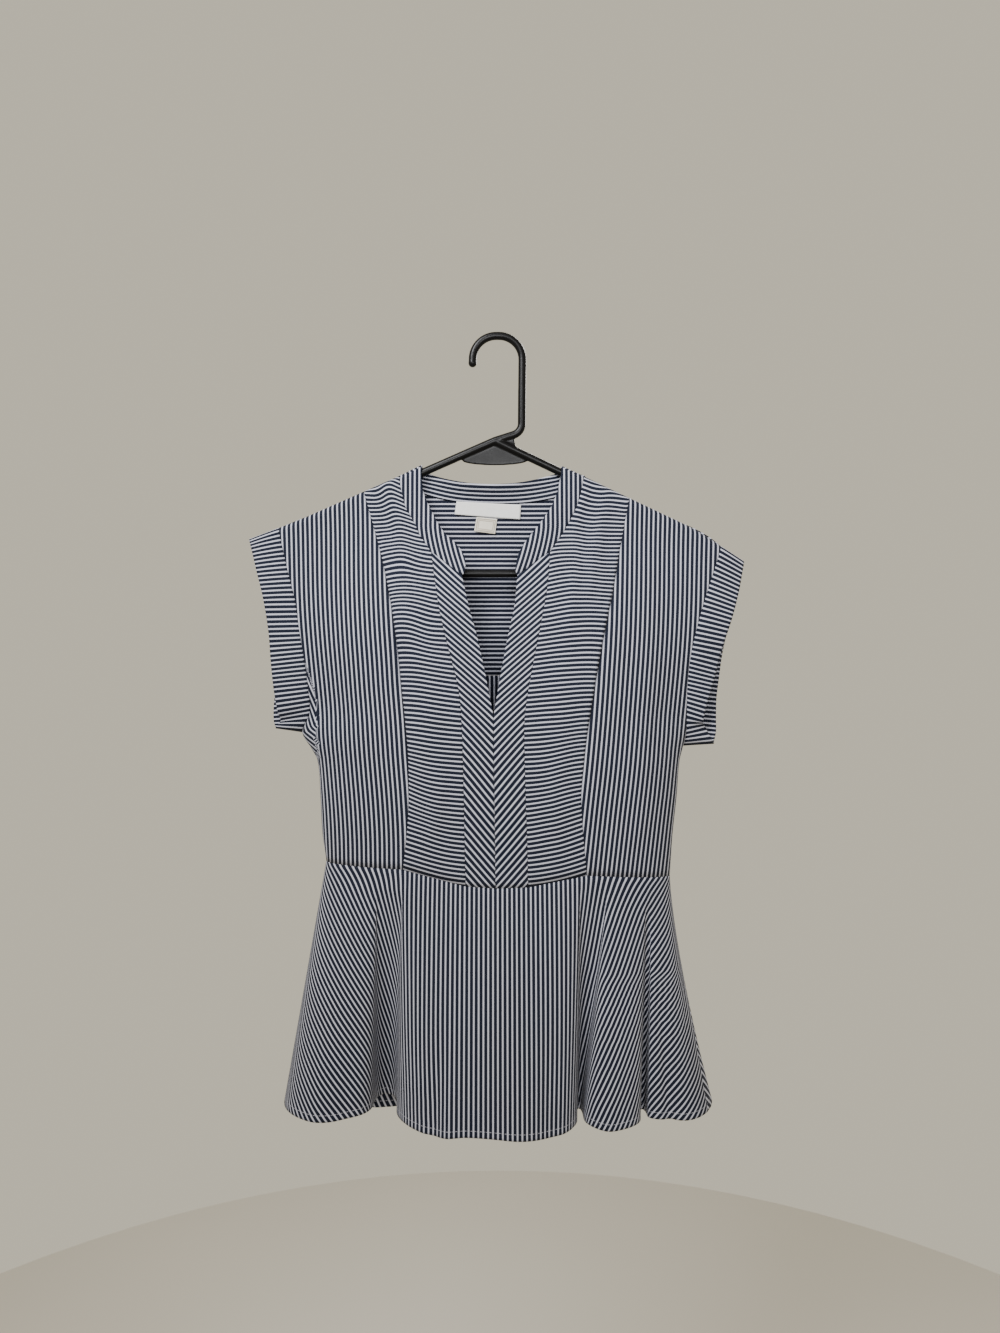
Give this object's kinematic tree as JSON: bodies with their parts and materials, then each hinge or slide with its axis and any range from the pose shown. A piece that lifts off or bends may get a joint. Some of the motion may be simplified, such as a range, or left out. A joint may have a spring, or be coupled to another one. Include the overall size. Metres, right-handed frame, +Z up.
{
  "type": "peplum top on a clothes hanger",
  "caption": "Sleeveless striped peplum top with a band collar, a narrow V opening and turned armhole cuffs, hanging from a bent rod clothes hanger.",
  "frame": {"origin": "the inside top of the hanger's hook, where a peg or rail carries it, on the rod's middle plane", "axes": "+X to the right as the front is seen, +Y from the front to the back, +Z up; the front faces -Y"},
  "size_m": [0.514, 0.1278, 0.8105],
  "materials": {
    "striped_cloth": "navy and off-white stripes about 5 mm apart, light woven cotton, matte with a faint sheen",
    "label_cloth": "blank woven labels, off-white, satin",
    "black_plastic": "black moulded plastic, satin"
  },
  "bodies": {
    "root": {"front_side_left": "striped_cloth", "front_side_right": "striped_cloth", "front_centre_left": "striped_cloth", "front_centre_right": "striped_cloth", "front_band_left": "striped_cloth", "front_band_right": "striped_cloth", "back_yoke": "striped_cloth", "back_body": "striped_cloth", "collar": "striped_cloth", "cuff_left": "striped_cloth", "cuff_right": "striped_cloth", "peplum_front": "striped_cloth", "peplum_back": "striped_cloth", "label_main": "label_cloth", "label_size": "label_cloth", "hanger_hook": "black_plastic", "hanger_arm_left": "black_plastic", "hanger_arm_right": "black_plastic", "hanger_bar": "black_plastic"}
  },
  "joints": []
}
